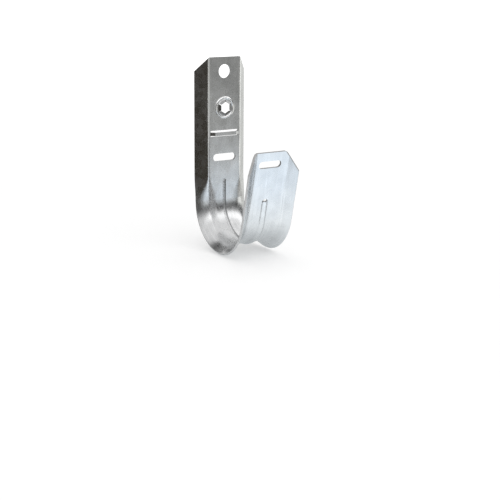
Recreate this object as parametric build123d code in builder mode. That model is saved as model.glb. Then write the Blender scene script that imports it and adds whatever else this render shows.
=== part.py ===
# A one-piece J hook, blanked from galvanised steel strip, pierced, folded to a channel and bent.
# X runs across the strip, the wall is on the +Y side, the front lip on the -Y side, and +Z is up.
# The origin is on the axis of the top mounting hole, at the back face of the web.
from math import atan2, cos, hypot, radians, sin, tan
import os

from build123d import *

os.makedirs("parts", exist_ok=True)

# Strip and its channel section, measured on the inner side of the J
sheet = 1.1
web_width = 17.2
strip_width = 27.4
flange_depth = 4.85
edge_round = 0.2
overrun = 8.0

# Folds between web and flange, as radii on the inner side of the J
back_fold = 1.8
lip_fold = 4.6

# Saddle, where the strip turns from the back plate to the lip. Its fold takes a share of the flange
saddle_radius = 16.4
saddle_drop = 60.8
saddle_flange_depth = 3.9
saddle_fold_share = 0.632
lip_lean = 12.6
back_blend = 12.0
blend_stations = 4
arch_end = 50
lip_start = 125
saddle_stations = 9

# Back plate
head_above_hole = 6.6
head_chamfer = 6.5
head_corner = 0.8
hole_diameter = 6.5
back_slot_drop = 40.4
back_slot_length = 12.3
back_slot_height = 3.6

# Gripping collar: a ring of fingers inside a raised bead
collar_drop = 16.9
collar_across_flats = 7.9
collar_mouth_across_flats = 4.9
collar_rise = 1.15
finger_count = 6
finger_sheet = 0.75
finger_slit = 0.4
finger_root_diameter = 7.4
ring_diameter = 9.1
ring_bead = 0.75
ring_height = 0.5
ring_groove = 0.34

# Bridge, lanced out of the back plate
bridge_drop = 29.0
bridge_window_length = 15.2
bridge_window_height = 3.0
bridge_length = 15.6
bridge_height = 1.5
bridge_below_middle = 0.05
bridge_rise = 1.85
bridge_ramp = 2.2
bridge_fold = 1.3

# Lip
lip_length = 33.2
lip_chamfer = 8.4
lip_corner = 2.6
lip_slot_below_edge = 5.75
lip_slot_length = 11.8
lip_slot_height = 3.4

# Stiffening bead, a groove on the inner side of the J and a ridge on the outer side
bead_groove = 0.85
bead_ridge = bead_groove + sheet
bead_above_saddle = 9.1
bead_up_lip = 9.2

half_web = web_width / 2
half_strip = strip_width / 2
flange_run = half_strip - half_web
flange_length = hypot(flange_run, flange_depth)
saddle_flange_length = hypot(flange_run, saddle_flange_depth)
saddle_fold = saddle_fold_share * saddle_flange_length / tan(atan2(saddle_flange_depth, flange_run) / 2)
finger_lean = atan2(collar_across_flats - collar_mouth_across_flats, 2 * collar_rise)
finger_depth = finger_sheet / sin(finger_lean)
saddle_turn = 180 - lip_lean
saddle_axis_y = -sheet - saddle_radius
saddle_axis = Axis((0, saddle_axis_y, -saddle_drop), (-1, 0, 0))
bridge_foot = -bridge_drop - bridge_below_middle - bridge_height / 2


def eased(share, first, last):
    """A size on its way from first to last, with a soft start and end."""
    return first + (last - first) * (1 - cos(radians(180 * share))) / 2


def strip_plane(turn, beyond=0.0):
    """Plane across the strip after a turn round the saddle, with Y away from the saddle's axis."""
    outward = Vector(0, cos(radians(turn)), -sin(radians(turn)))
    onward = Vector(0, -sin(radians(turn)), -cos(radians(turn)))
    centre = Vector(0, saddle_axis_y, -saddle_drop) + outward * saddle_radius + onward * beyond
    return Plane(origin=centre, x_dir=(1, 0, 0), z_dir=onward * -1)


def plate_outline(top, chamfer, corner):
    """Front view of a plate whose flanges are cut off at a slant, with Y = 0 at its foot."""
    with BuildSketch() as outline:
        with BuildLine():
            Polyline(
                (-half_strip, 0), (-half_strip, top - chamfer), (-half_web, top),
                (half_web, top), (half_strip, top - chamfer), (half_strip, 0), close=True,
            )
        make_face()
        fillet(outline.vertices().group_by(Axis.Y)[-1], corner)
    return outline.sketch


def slant_wedges(corner, outward, upward, chamfer):
    """Wedges beyond the slants of both flanges, square to the flange, from the middle of a top edge."""
    with BuildPart() as wedges:
        for side in (-1, 1):
            sloping = Vector(side * flange_run, 0, 0) + outward * flange_depth
            fold_point = corner + Vector(side * half_web, 0, 0)
            with BuildSketch(Plane(fold_point, x_dir=sloping, z_dir=sloping.cross(upward))):
                with BuildLine():
                    Polyline((0, 0), (2 * flange_length, 0), (2 * flange_length, -2 * chamfer), close=True)
                make_face()
            extrude(amount=overrun / 2, both=True)
    return wedges.part


def channel(flat, width, depth, fold):
    """Section of a folded strip: its flat on the X axis, its two flanges spread away along +Y."""
    run = (width - flat) / 2
    inset = Vector(-depth, run) * (sheet / hypot(run, depth))
    inner_half = flat / 2 - sheet * tan(atan2(depth, run) / 2)
    tip = Vector(width / 2, depth)
    end = tip + inset
    with BuildSketch() as section:
        with BuildLine():
            FilletPolyline((-tip.X, tip.Y), (-flat / 2, 0), (flat / 2, 0), (tip.X, tip.Y), radius=fold)
            Line((tip.X, tip.Y), (end.X, end.Y))
            FilletPolyline(
                (end.X, end.Y), (inner_half, sheet), (-inner_half, sheet), (-end.X, end.Y),
                radius=fold - sheet,
            )
            Line((-end.X, end.Y), (-tip.X, tip.Y))
        make_face()
    return section.sketch


def strip_section(depth, fold):
    """Section of the hook's own strip, with the cut edges of its flanges rounded off."""
    with BuildSketch() as section:
        add(channel(web_width, strip_width, depth, fold))
        by_side = section.vertices().group_by(Axis.X)
        fillet(by_side[0] + by_side[1] + by_side[-2] + by_side[-1], edge_round)
    return section.sketch


def bead_profile(radius, start):
    """Circle about the strip's inner face, kept where it is further out than its start."""
    with BuildSketch() as profile:
        Circle(radius)
        with Locations((0, start)):
            Rectangle(2 * radius, 2 * radius, align=(Align.CENTER, Align.MAX), mode=Mode.SUBTRACT)
    return profile.sketch


def bead(radius, start):
    """Bar that follows the middle of the strip up the back plate, round the saddle and up the lip."""
    with BuildPart() as bar:
        with BuildSketch(strip_plane(0)):
            add(bead_profile(radius, start))
        extrude(amount=bead_above_saddle)
        with BuildSketch(strip_plane(0)):
            add(bead_profile(radius, start))
        revolve(axis=saddle_axis, revolution_arc=saddle_turn)
        with BuildSketch(strip_plane(saddle_turn)):
            add(bead_profile(radius, start))
        extrude(amount=-bead_up_lip)
    return bar.part


def bead_end(radius, start, plane):
    """Domed end of the bead, on a plane across the strip."""
    with BuildPart() as dome:
        with BuildSketch(plane):
            add(bead_profile(radius, start))
            Rectangle(2 * radius, 4 * radius, align=(Align.MAX, Align.CENTER), mode=Mode.SUBTRACT)
        revolve(axis=Axis(plane.origin, plane.y_dir), revolution_arc=360)
    return dome.part


def collar_plane(height):
    """Plane of the back plate at the collar, so far in front of the plate's back face."""
    return Plane((0, -height, -collar_drop), x_dir=(1, 0, 0), z_dir=(0, -1, 0))


def finger_ring(across_flats):
    """Outline of the collar at one height, with a flat side for each finger."""
    corner_angle = 180 / finger_count
    return RegularPolygon(across_flats / 2, finger_count, major_radius=False, rotation=corner_angle)


lip_plane = Plane(strip_plane(saddle_turn).origin, x_dir=(1, 0, 0), z_dir=strip_plane(saddle_turn).y_dir)

# Back plate: straight channel with cut-off corners, pierced and lanced
with BuildPart() as back_plate:
    with BuildSketch(strip_plane(0, -back_blend)):
        add(strip_section(flange_depth, back_fold))
    extrude(amount=saddle_drop + head_above_hole - back_blend)
    with BuildSketch(Plane((0, overrun, -saddle_drop), x_dir=(1, 0, 0), z_dir=(0, -1, 0))):
        add(plate_outline(saddle_drop + head_above_hole, head_chamfer, head_corner))
    extrude(amount=2 * overrun, mode=Mode.INTERSECT)
    head = Vector(0, -sheet, head_above_hole)
    add(slant_wedges(head, Vector(0, 1, 0), Vector(0, 0, 1), head_chamfer), mode=Mode.SUBTRACT)
    with BuildSketch(Plane.XZ.offset(-overrun)):
        Circle(hole_diameter / 2)
        with Locations((0, -bridge_drop)):
            Rectangle(bridge_window_length, bridge_window_height)
        with Locations((0, -back_slot_drop)):
            SlotOverall(back_slot_length, back_slot_height)
    extrude(amount=2 * overrun, mode=Mode.SUBTRACT)
    # Bridge, bowed forward across its window
    with BuildSketch(Plane((0, -sheet - bridge_rise, bridge_foot))):
        add(channel(bridge_length - 2 * bridge_ramp, bridge_length, bridge_rise, bridge_fold))
    extrude(amount=bridge_height)
    # Raised ring with its groove behind, and fingers that lean forward inside it
    with Locations(Plane((0, ring_bead - ring_height - sheet, -collar_drop), z_dir=(0, -1, 0))):
        Torus(ring_diameter / 2, ring_bead)
    with Locations(Plane((0, 0, -collar_drop), z_dir=(0, -1, 0))):
        Torus(ring_diameter / 2, ring_groove, mode=Mode.SUBTRACT)
    with BuildSketch(collar_plane(sheet)):
        finger_ring(collar_across_flats)
    with BuildSketch(collar_plane(sheet + collar_rise)):
        finger_ring(collar_mouth_across_flats)
    loft()
    with BuildSketch(collar_plane(sheet - finger_depth)):
        finger_ring(collar_across_flats)
    with BuildSketch(collar_plane(sheet - finger_depth + collar_rise)):
        finger_ring(collar_mouth_across_flats)
    loft(mode=Mode.SUBTRACT)
    with BuildSketch(collar_plane(sheet - finger_depth)):
        finger_ring(collar_across_flats)
    extrude(amount=-overrun, mode=Mode.SUBTRACT)
    with BuildSketch(collar_plane(-overrun)):
        finger_ring(collar_mouth_across_flats)
        with PolarLocations(finger_root_diameter / 4, finger_count, start_angle=180 / finger_count):
            Rectangle(finger_root_diameter / 2, finger_slit)
    extrude(amount=2 * overrun, mode=Mode.SUBTRACT)

# Saddle: the channel opens out to a soft arch, turns, and closes up again towards the lip
with BuildPart() as saddle:
    for station in range(blend_stations + 1):
        opened = station / blend_stations
        depth = eased(opened, flange_depth, saddle_flange_depth)
        fold = eased(opened, back_fold, saddle_fold)
        with BuildSketch(strip_plane(0, -back_blend * (1 - opened))):
            add(strip_section(depth, fold))
    loft()
    for station in range(saddle_stations + 1):
        turn = saddle_turn * station / saddle_stations
        closed = min(max((turn - arch_end) / (lip_start - arch_end), 0), 1)
        depth = eased(closed, saddle_flange_depth, flange_depth)
        fold = eased(closed, saddle_fold, lip_fold)
        with BuildSketch(strip_plane(turn)):
            add(strip_section(depth, fold))
    loft()

# Lip: straight channel that leans forward, with rounded corners and a slot
with BuildPart() as lip:
    with BuildSketch(strip_plane(saddle_turn)):
        add(strip_section(flange_depth, lip_fold))
    extrude(amount=-lip_length)
    with BuildSketch(lip_plane.offset(-overrun)):
        add(plate_outline(lip_length, lip_chamfer, lip_corner))
    extrude(amount=2 * overrun, mode=Mode.INTERSECT)
    lip_edge = lip_plane.origin + lip_plane.y_dir * lip_length
    add(slant_wedges(lip_edge, lip_plane.z_dir, lip_plane.y_dir, lip_chamfer), mode=Mode.SUBTRACT)
    with BuildSketch(lip_plane.offset(-overrun)):
        with Locations((0, lip_length - lip_slot_below_edge)):
            SlotOverall(lip_slot_length, lip_slot_height)
    extrude(amount=2 * overrun, mode=Mode.SUBTRACT)

# The whole hook, with its stiffening bead pressed along the middle
with BuildPart() as hook_body:
    add(back_plate.part)
    add(saddle.part)
    add(lip.part)
    ridge = (bead_ridge, sheet / 2, Mode.ADD)
    groove = (bead_groove, -sheet / 2, Mode.SUBTRACT)
    for radius, start, mode in (ridge, groove):
        add(bead(radius, start), mode=mode)
        add(bead_end(radius, start, strip_plane(0, -bead_above_saddle)), mode=mode)
        add(bead_end(radius, start, strip_plane(saddle_turn, bead_up_lip)), mode=mode)

hook_body.part.label = "hook_body"
export_step(hook_body.part, "parts/hook_body.step")
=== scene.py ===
from math import cos, radians, sin

import bpy
from mathutils import Matrix, Vector


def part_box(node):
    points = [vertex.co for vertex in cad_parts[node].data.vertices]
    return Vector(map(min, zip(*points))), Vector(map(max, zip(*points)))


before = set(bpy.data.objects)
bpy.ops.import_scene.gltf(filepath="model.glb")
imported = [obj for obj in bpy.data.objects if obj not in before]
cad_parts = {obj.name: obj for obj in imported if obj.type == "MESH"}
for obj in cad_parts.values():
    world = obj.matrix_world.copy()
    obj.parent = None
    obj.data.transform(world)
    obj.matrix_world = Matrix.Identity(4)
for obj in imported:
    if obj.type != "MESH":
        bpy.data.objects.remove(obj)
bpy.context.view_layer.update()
scene = bpy.context.scene


# Hook body
# One strip of steel sheet, slit from the coil and hot-dip galvanised, then pierced, pressed and
# folded. Its zinc coat is a wavy satin with a fine spangle and pale patches, streaked along the
# strip, and brighter where the tools have rubbed it. Its folds and the collar's ring also carry a
# painted highlight, and the collar's fingers a painted shade.
class Socket:
    """A shader value, so that maths on it reads as it is written."""

    def __init__(self, tree, value):
        self.tree = tree
        self.value = value

    def node(self, kind, settings=None, inputs=None):
        """Adds a node, with its settings first, and gives its outputs as sockets."""
        made = self.tree.nodes.new(kind)
        for name, value in (settings or {}).items():
            setattr(made, name, value)
        for name, value in (inputs or {}).items():
            if isinstance(value, Socket):
                self.tree.links.new(value.value, made.inputs[name])
            else:
                made.inputs[name].default_value = value
        return [Socket(self.tree, output) for output in made.outputs]

    def math(self, operation, *values):
        return self.node("ShaderNodeMath", {"operation": operation}, dict(enumerate(values)))[0]

    def __add__(self, other):
        return self.math("ADD", self, other)

    __radd__ = __add__

    def __mul__(self, other):
        return self.math("MULTIPLY", self, other)

    __rmul__ = __mul__

    def __sub__(self, other):
        return self.math("SUBTRACT", self, other)

    def __rsub__(self, other):
        return self.math("SUBTRACT", other, self)

    def clamp(self, low, high):
        return self.math("MINIMUM", self.math("MAXIMUM", self, low), high)

    def fade(self, begin, end, first, last):
        """Changes smoothly from first to last, as this value goes from begin to end."""
        return self.node(
            "ShaderNodeMapRange", {"interpolation_type": "SMOOTHSTEP"},
            {"Value": self, "From Min": begin, "From Max": end, "To Min": first, "To Max": last},
        )[0]

    def band(self, rise, fall, height=1.0):
        """Comes up to a height over one stretch of this value, and goes down over another."""
        return self.fade(*rise, 0.0, height) * self.fade(*fall, 1.0, 0.0)

    def mix(self, first, second):
        """A colour that goes from first to second, as this value goes from 0 to 1."""
        return self.node(
            "ShaderNodeMix", {"data_type": "RGBA"}, {0: self, 6: first, 7: second},
        )[2]

    def stretched(self, scale):
        """This place, scaled along each of its three directions."""
        return self.node("ShaderNodeMapping", {}, {"Vector": self, "Scale": scale})[0]

    def noise(self, scale, detail, roughness=0.5):
        """Cloudy noise from 0 to 1 at this place."""
        return self.node(
            "ShaderNodeTexNoise", {},
            {"Vector": self, "Scale": scale, "Detail": detail, "Roughness": roughness},
        )[0]


def new_shader(owner):
    """Empties a material's or a world's nodes, and gives a socket to start its maths from."""
    owner.use_nodes = True
    owner.node_tree.nodes.clear()
    return Socket(owner.node_tree, None)


def grey(level, blue=0.0):
    """A colour of that level, with a little more blue and less red."""
    return (level * (1 - blue), level, level * (1 + blue), 1)


zinc = bpy.data.materials.new("galvanised_steel")
start = new_shader(zinc)

# Place on the flat strip, as it was before it was folded and bent: across it, along it and into it
saddle_radius = 0.0164
saddle_axis_y = -0.0175
saddle_axis_z = -0.0608
half_turn = radians(167.4 / 2)
coordinates = start.node("ShaderNodeTexCoord")
place, facing = coordinates[3], coordinates[1]
across, back, rise = start.node("ShaderNodeSeparateXYZ", {}, {0: place})
face_x, face_y, face_z = start.node("ShaderNodeSeparateXYZ", {}, {0: facing})
from_axis = back - saddle_axis_y
above_axis = rise - saddle_axis_z
below_saddle = from_axis * cos(half_turn) - above_axis * sin(half_turn)
onward = 0 - from_axis * sin(half_turn) - above_axis * cos(half_turn)
bend = start.math("ARCTAN2", onward, below_saddle).clamp(-half_turn, half_turn)
bend_cos, bend_sin = start.math("COSINE", bend), start.math("SINE", bend)
along = bend * saddle_radius - below_saddle * bend_sin + onward * bend_cos
into = below_saddle * bend_cos + onward * bend_sin - saddle_radius
strip = start.node("ShaderNodeCombineXYZ", {}, {0: across, 1: along, 2: into})[0]

# How a face stands to the sheet: across its thickness, or out over the strip's long edge
flange_lean = radians(43.6)
off_middle = start.math("ABSOLUTE", across)
lean = off_middle.fade(0.0060, 0.0110, 0.0, flange_lean)
lean_cos, lean_sin = start.math("COSINE", lean), start.math("SINE", lean)
turned = bend + half_turn
outward = face_y * start.math("COSINE", turned) - face_z * start.math("SINE", turned)
sideways = face_x * start.math("SIGN", across)
square_on = start.math("ABSOLUTE", outward * lean_cos - sideways * lean_sin)
edgeward = sideways * lean_cos + outward * lean_sin

# The long edges were slit before the sheet was galvanised, so zinc covers them, pale and matt.
# Pierced and cropped faces are bare steel. The web's pressed forms tilt it more than its flanges,
# so a face on the web counts as cut only when it stands steeper.
slit = edgeward.fade(0.75, 0.90, 0.0, 1.0)
broad_limit = off_middle.fade(0.0055, 0.0075, 0.40, 0.72)
cut = (square_on - broad_limit).fade(-0.10, 0.0, 1.0, 0.0) * (1 - slit)

# Spangle and patches of the zinc, fine streaks from the rolls, and longer scuffs from the press
spangle_size = 0.0022
patches_per_metre = 90.0
streaks_per_metre = (2600.0, 60.0, 2600.0)
scuffs_per_metre = (700.0, 45.0, 700.0)
spangle = start.node(
    "ShaderNodeTexVoronoi", {"feature": "F1"},
    {"Vector": strip, "Scale": 1 / spangle_size, "Randomness": 1.0},
)
flake = start.node("ShaderNodeSeparateColor", {}, {"Color": spangle[1]})[0]
cloud = strip.noise(patches_per_metre, 4.0, 0.55)
patch = cloud.fade(0.34, 0.66, 0.0, 1.0)
streak = strip.stretched(streaks_per_metre).noise(1.0, 2.0)
scuff = strip.stretched(scuffs_per_metre).noise(1.0, 3.0).fade(0.52, 0.68, 0.0, 1.0)

# The folds and the collar's ring are made brighter, partly from rubbing by the tools and partly as
# a painted highlight. The collar's fingers are made dark as a painted shade.
collar_middle = (0.0, -0.0015, -0.0169)
fold = off_middle.band((0.0074, 0.0084), (0.0088, 0.0100))
from_collar = start.node(
    "ShaderNodeVectorMath", {"operation": "DISTANCE"}, {0: place, 1: collar_middle},
)[1]
ring = from_collar.band((0.0037, 0.0042), (0.0050, 0.0055))
fingers = from_collar.fade(0.0034, 0.0038, 0.7, 0.0)
rub_and_highlight = (fold * (0.3 + 0.7 * scuff) + ring).clamp(0, 1)

# Colour: the zinc from dull to bright, then the ring's painted highlight, the cut faces, and the
# fingers' painted shade over it
dull_zinc, bright_zinc, ring_highlight_zinc = grey(0.61, 0.010), grey(0.85, 0.004), grey(0.94)
dark_steel, light_steel, finger_shade_steel = grey(0.36), grey(0.56), grey(0.20)
shear_marks_per_metre = 1400.0
sheared = strip.noise(shear_marks_per_metre, 2.0)
tone = 0.20 * flake + 0.42 * patch + 0.16 * streak + 0.22 * scuff + 0.45 * rub_and_highlight + 0.5 * slit
coat_colour = ring.mix(tone.clamp(0, 1).mix(dull_zinc, bright_zinc), ring_highlight_zinc)
colour = cut.mix(coat_colour, sheared.mix(dark_steel, light_steel))
# The collar's fingers are painted dark: a painted shade
colour = fingers.mix(colour, finger_shade_steel)

# Gloss and relief: broad waves of the sheet, which bend what it mirrors, with a fine grain on them
waves_per_metre = (150.0, 60.0, 150.0)
wave_height = 0.0003
grain_share = 0.020
roughness = 0.21 + 0.06 * flake + 0.07 * cloud - 0.05 * rub_and_highlight + 0.16 * cut + 0.34 * slit
wave = strip.stretched(waves_per_metre).noise(1.0, 1.0)
grain = 0.45 * streak + 0.45 * cloud + 0.25 * scuff + cut * sheared
relief = start.node(
    "ShaderNodeBump", {},
    {"Strength": 1.0, "Distance": wave_height, "Height": wave + grain_share * grain},
)[0]
surface = start.node(
    "ShaderNodeBsdfPrincipled", {},
    {"Base Color": colour, "Metallic": 1 - 0.75 * slit, "Roughness": roughness, "Normal": relief},
)[0]
start.node("ShaderNodeOutputMaterial", {}, {"Surface": surface})
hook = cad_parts["hook_body"]
hook.data.materials.clear()
hook.data.materials.append(zinc)


# Camera
# The photograph's own view, worked out from where the holes, corners and folds appear in it: the
# angle round the hook, the angle above it, the roll, the distance and the lens.
photo_side = 500
azimuth = radians(-32.414)
elevation = radians(14.887)
roll = radians(0.544)
distance = 0.5075
focal_pixels = 1088.0
origin_pixel = (223.547, 70.956)
sensor_width = 36.0

toward = Vector((sin(azimuth) * cos(elevation), -cos(azimuth) * cos(elevation), sin(elevation)))
level_right = Vector((cos(azimuth), sin(azimuth), 0))
level_up = toward.cross(level_right)
right = level_right * cos(roll) + level_up * sin(roll)
up = level_up * cos(roll) - level_right * sin(roll)
aside = (origin_pixel[0] - photo_side / 2) * distance / focal_pixels
above = (photo_side / 2 - origin_pixel[1]) * distance / focal_pixels
lens = bpy.data.cameras.new("camera")
lens.sensor_width = sensor_width
lens.lens = focal_pixels / photo_side * sensor_width
camera = bpy.data.objects.new("camera", lens)
turn = Matrix((right, up, toward)).transposed().to_4x4()
camera.matrix_world = Matrix.Translation(toward * distance - right * aside - up * above) @ turn
scene.collection.objects.link(camera)
scene.camera = camera


# Floor
# A plain white sheet of paper under the hook, which shows its soft shadow. In mirrored rays the
# floor glows instead as a painted reflection of a work table, with a painted dark screen at the
# front left, so that the metal's broad faces differ in tone as polished faces do in a real room.
floor_size = 12.0
floor_gap = 0.0006
low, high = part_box("hook_body")
bpy.ops.mesh.primitive_plane_add(size=floor_size, location=(0, 0, low.z - floor_gap))
floor = bpy.context.object
floor.name = "floor"
paper = bpy.data.materials.new("white_paper")
start = new_shader(paper)

# Place on the table, from the spot under the mounting hole: its reach in metres, and its bearing in
# radians, which is 0 at the front, rises to the right and falls to the left
place = start.node("ShaderNodeTexCoord")[3]
across, back, _ = start.node("ShaderNodeSeparateXYZ", {}, {0: place})
reach = start.node("ShaderNodeVectorMath", {"operation": "LENGTH"}, {0: place})[1]
bearing = start.math("ARCTAN2", across, 0 - back)

# The painted dark screen, and a lighter strip of table close to the hook in front of it
painted_screen_level, back_level = 0.03, 0.6
painted_screen = start.math(
    "MAXIMUM", bearing.fade(-0.70, -0.52, painted_screen_level, 1.0),
    bearing.fade(-2.5, -1.9, back_level, painted_screen_level),
)
close_by = reach.band((0.076, 0.096), (0.112, 0.125)) * bearing.fade(-0.90, -0.70, 0.0, 1.0)
painted_screen = start.math("MAXIMUM", painted_screen, close_by)

# Painted paler parts of the mirrored table, which give painted highlights: a ring round the hook,
# palest at its outer side, and a part at the right
ring_gain = reach.fade(0.030, 0.060, 0.0, 0.20) + reach.fade(0.098, 0.116, 0.0, 0.14)
ring_gain = ring_gain * reach.fade(0.125, 0.16, 1.0, 0.0)
right_gain = bearing.band((1.0, 1.25), (1.4, 1.7), 0.5)

# Painted darker parts of the mirrored table, which give painted shade: away from the hook at the
# front left and at the front right, a gap to the right of that, a narrow crease closer in that
# paints shade into the lip's inner fold, the back right, and a painted shadow beside the hook
left_loss = bearing.band((-0.52, -0.40), (0.0, 0.25)) * reach.fade(0.12, 0.18, 0.0, 0.28)
front_loss = bearing.band((0.0, 0.35), (0.8, 1.2)) * reach.fade(0.11, 0.37, 0.0, 0.66)
painted_gap_shade = bearing.band((0.80, 0.92), (1.02, 1.15), 0.85) * reach.fade(0.10, 0.14, 0.0, 0.8)
painted_crease_shade = bearing.band((0.60, 0.72), (0.85, 1.0), 0.80)
painted_crease_shade = painted_crease_shade * reach.band((0.045, 0.055), (0.105, 0.12))
back_loss = bearing.fade(1.45, 1.9, 0.0, 0.24)
painted_hook_shadow = bearing.band((0.85, 1.15), (1.65, 2.0)) * reach.fade(0.12, 0.16, 0.88, 0.0)

# All of it, and an even tone right under the hook
under_level = 0.60
under = reach.fade(0.020, 0.048, 1.0, 0.0)
table = painted_screen * (1 + ring_gain) * (1 + right_gain)
for loss in (left_loss, front_loss, painted_gap_shade, painted_crease_shade, back_loss):
    table = table * (1 - loss)
table = (under * under_level + (1 - under) * table) * (1 - painted_hook_shadow)

# The painted reflection is brown where it is dark, a warm white where it is light, and cool in
# front of the lip
brown = (1.20, 1.0, 0.68, 1)
warm_white = (0.995, 1.0, 0.965, 1)
cool_white = (0.90, 1.0, 1.10, 1)
cool = reach.fade(0.055, 0.095, 0.45, 1.0) * reach.fade(0.12, 0.22, 1.0, 0.0)
cool = cool * bearing.fade(1.0, 1.4, 1.0, 0.0) * table.fade(0.2, 0.6, 0.0, 1.0)
table_colour = cool.mix(table.fade(0.04, 0.28, 0.0, 1.0).mix(brown, warm_white), cool_white)

# The paper glows in the camera's eye, and less so near the hook, where its shadow lies
ray = start.node("ShaderNodeLightPath")
seen, mirrored = ray[0], ray[3]
paper_colour = grey(0.62)
glow_level = seen * reach.fade(0.15, 1.2, 0.42, 1.0)
matt = start.node("ShaderNodeBsdfDiffuse", {}, {"Color": paper_colour})[0]
glow = start.node("ShaderNodeEmission", {}, {"Color": grey(1.0), "Strength": glow_level})[0]
lit = start.node("ShaderNodeAddShader", {}, {0: matt, 1: glow})[0]
mirror = start.node("ShaderNodeEmission", {}, {"Color": table_colour, "Strength": table})[0]
both = start.node("ShaderNodeMixShader", {}, {0: mirrored, 1: lit, 2: mirror})[0]
start.node("ShaderNodeOutputMaterial", {}, {"Surface": both})
floor.data.materials.append(paper)


# Lamps and room
# A large soft box overhead and a small one at the right, in an even pale room. The metal mirrors
# that room as dim, but for a pale stretch of ceiling and a pale wall behind the hook.
def soft_box(name, place, aim, side, power):
    """A square lamp at a place, turned to face a point."""
    light = bpy.data.lights.new(name, "AREA")
    light.shape = "RECTANGLE"
    light.size = light.size_y = side
    light.energy = power
    lamp = bpy.data.objects.new(name, light)
    lamp.location = place
    lamp.rotation_euler = (Vector(aim) - Vector(place)).to_track_quat("-Z", "Y").to_euler()
    scene.collection.objects.link(lamp)


middle = ((low + high) / 2)[:]
soft_box("top_lamp", (0.15, -0.25, 0.9), middle, 2.4, 15.0)
soft_box("right_lamp", (0.9, 0.45, 0.35), middle, 1.0, 1.0)

room = bpy.data.worlds.new("room")
start = new_shader(room)
scene.world = room
room_level = 0.45
ray = start.node("ShaderNodeLightPath")
seen, mirrored = ray[0], ray[3]
heading = start.node("ShaderNodeTexCoord")[0]
_, backward, climb = start.node("ShaderNodeSeparateXYZ", {}, {0: heading})
ceiling = climb.fade(0.20, 0.50, 0.10, 0.80) * climb.fade(0.60, 0.75, 1.0, 0.10)
ceiling = ceiling * backward.fade(0.30, 0.60, 1.0, 0.30)
wall = backward.fade(0.62, 0.78, 0.0, 0.90) * climb.fade(0.32, 0.45, 1.0, 0.0)
level = room_level * (1 - seen) * (1 - mirrored) + seen + (ceiling + wall) * mirrored
sky = start.node("ShaderNodeBackground", {}, {"Color": grey(1.0), "Strength": level})[0]
start.node("ShaderNodeOutputWorld", {}, {"Surface": sky})

scene.view_settings.view_transform = "Standard"
